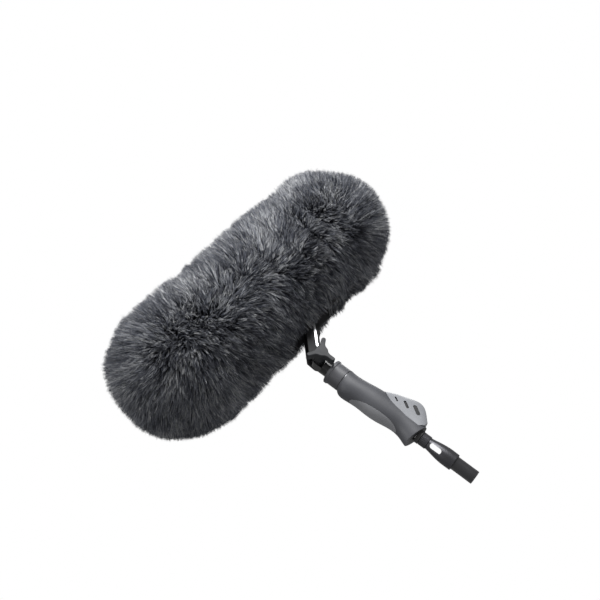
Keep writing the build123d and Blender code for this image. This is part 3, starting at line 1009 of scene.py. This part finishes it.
    @staticmethod
    def hair_materials() -> list[bpy.types.Material]:
        """One glossy fibre for each dye and height, made on first use; the lower half's darker
        colour is painted shade deep in the pile.

        Returns:
            The fibres, by dye and then from the lower to the upper half.
        """
        fibres = []
        for dye in DyeAndPileShade:
            for height, colour in zip(("middle", "tip"), dye.value):
                name = f"hair_{dye.name.lower()}_{height}"
                fibre = bpy.data.materials.get(name)
                if fibre is None:
                    kit = NodeKit(name)
                    kit.link((*colour, 1.0), kit.surface.inputs["Base Color"])
                    kit.constant(Roughness=0.5, Specular_IOR_Level=0.35)
                    fibre = kit.material
                fibres.append(fibre)
        return fibres

    def build(self) -> None:
        """Builds the cover and puts it on the frame."""
        panels = self.backing()
        for section, panel in panels.items():
            pile = self.pile(section)
            for piece in (panel, *pile):
                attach(piece, "windscreen")
                log.info("%s: %d faces", piece.name, len(piece.data.polygons))
            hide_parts(section.value)
            self.declare(section, panel)
        hem = self.binding()
        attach(hem, "windscreen")
        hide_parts("opening_binding")
        log.info("%s: %d faces", hem.name, len(hem.data.polygons))

    def declare(
        self, section: Stretch, panel: bpy.types.Object
    ) -> None:
        """Works out the area of the sheet a backing panel was cut from, and does nothing with it.

        Args:
            section: The sewn section.
            panel: Its backing.
        """
        girth = math.tau * self.skin
        low, high = panel.bound_box[0][0], panel.bound_box[6][0]
        span = high - low
        area = girth * span
        if section is not Stretch.BODY:
            area -= girth * self.skin - math.tau * self.skin**2


# --- hard pieces --------------------------------------------------------------------------


class HardPieces:
    """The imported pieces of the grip, pole, fork and basket, each with its finish."""

    def dress(self) -> None:
        """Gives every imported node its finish."""
        for finish, nodes in DRESS.items():
            material = finish.value.make()
            for name in nodes:
                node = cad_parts[name]
                node.data.materials.clear()
                node.data.materials.append(material)
                log.info("%s: %s", name, material.name)


# --- studio -------------------------------------------------------------------------------


@dataclass
class Studio:
    """White world, pale floor, soft lights and the camera."""

    azimuth: float = 146.36
    elevation: float = -16.36
    roll: float = 54.09
    distance: float = 1.2
    aim: tuple[float, float, float] = (-0.0284, 0.0427, 0.2869)
    lens: float = 59.85
    floor_drop: float = 1.6
    floor_side: float = 3.6
    fill: float = 0.3

    def axes(self) -> tuple[Vector, Vector, Vector]:
        """Works out the camera's directions.

        Returns:
            Right, up and back.
        """
        turn, rise = math.radians(self.azimuth), math.radians(self.elevation)
        back = Vector((
            math.sin(turn) * math.cos(rise), -math.cos(turn) * math.cos(rise), math.sin(rise)
        ))
        level = Vector((0, 0, 1)).cross(back).normalized()
        rolled = Matrix.Rotation(-math.radians(self.roll), 3, back)
        right = rolled @ level
        return right, back.cross(right), back

    def camera(self) -> None:
        """Places the camera."""
        right, up, back = self.axes()
        data = bpy.data.cameras.new("camera")
        data.lens = self.lens
        data.clip_start, data.clip_end = 0.05, 30.0
        camera = bpy.data.objects.new("camera", data)
        turn = Matrix((right, up, back)).transposed().to_4x4()
        camera.matrix_world = Matrix.Translation(Vector(self.aim) + back * self.distance) @ turn
        bpy.context.scene.collection.objects.link(camera)
        bpy.context.scene.camera = camera

    def lamp(self, name: str, way: Vector, reach: float, size: float, power: float) -> None:
        """Hangs a square soft light that faces the object.

        Args:
            name: The light's name.
            way: Its direction from the object.
            reach: Its distance.
            size: Its side.
            power: Its power in watts.
        """
        data = bpy.data.lights.new(name, "AREA")
        data.size, data.energy = size, power
        lamp = bpy.data.objects.new(name, data)
        middle = (cad_box[0] + cad_box[1]) / 2
        lamp.location = middle + way.normalized() * reach
        lamp.rotation_euler = way.to_track_quat("Z", "Y").to_euler()
        bpy.context.scene.collection.objects.link(lamp)

    def floor(self) -> None:
        """Lays a wide pale floor well under the object."""
        clear_selection()
        bpy.ops.mesh.primitive_plane_add(
            size=self.floor_side, location=(0, 0, cad_box[0].z - self.floor_drop)
        )
        floor = bpy.context.object
        floor.name = "floor"
        kit = NodeKit("pale_floor")
        mottle = kit.noise(scale=3.0, detail=2.0)
        colour = kit.blend(mottle, (0.93, 0.93, 0.93), (0.96, 0.96, 0.96))
        kit.link(colour, kit.surface.inputs["Base Color"])
        kit.constant(Roughness=0.9)
        floor.data.materials.append(kit.material)

    def room(self) -> None:
        """Makes the world: white where it is seen, and a soft dimmer fill as light."""
        world = bpy.data.worlds.new("white_room")
        world.use_nodes = True
        tree = world.node_tree
        fill = tree.nodes["Background"]
        fill.inputs["Color"].default_value = (1.0, 1.0, 1.0, 1.0)
        fill.inputs["Strength"].default_value = self.fill
        wall = tree.nodes.new("ShaderNodeBackground")
        wall.inputs["Color"].default_value = (1.0, 1.0, 1.0, 1.0)
        seen = tree.nodes.new("ShaderNodeLightPath").outputs["Is Camera Ray"]
        mix = tree.nodes.new("ShaderNodeMixShader")
        tree.links.new(seen, mix.inputs[0])
        tree.links.new(fill.outputs[0], mix.inputs[1])
        tree.links.new(wall.outputs[0], mix.inputs[2])
        tree.links.new(mix.outputs[0], tree.nodes["World Output"].inputs["Surface"])
        bpy.context.scene.world = world

    def build(self) -> None:
        """Sets up the whole studio."""
        self.camera()
        self.floor()
        right, up, back = self.axes()
        key = up * 1.0 - right * 0.05 + back * 0.3
        side = up * 0.1 - right * 1.0 + back * 0.5
        behind = up * 0.5 - back * 1.0
        self.lamp("key", key, reach=1.6, size=0.9, power=44.0)
        self.lamp("side", side, reach=1.6, size=0.8, power=12.0)
        self.lamp("behind", behind, reach=1.7, size=0.9, power=18.0)
        self.room()
        bpy.context.scene.view_settings.view_transform = "Standard"


def main() -> None:
    """Builds the windscreen and its studio."""
    logging.basicConfig(level=logging.INFO, format="%(name)s %(message)s")
    Studio().build()
    HardPieces().dress()
    FurCover().build()


if __name__ == "__main__":
    main()
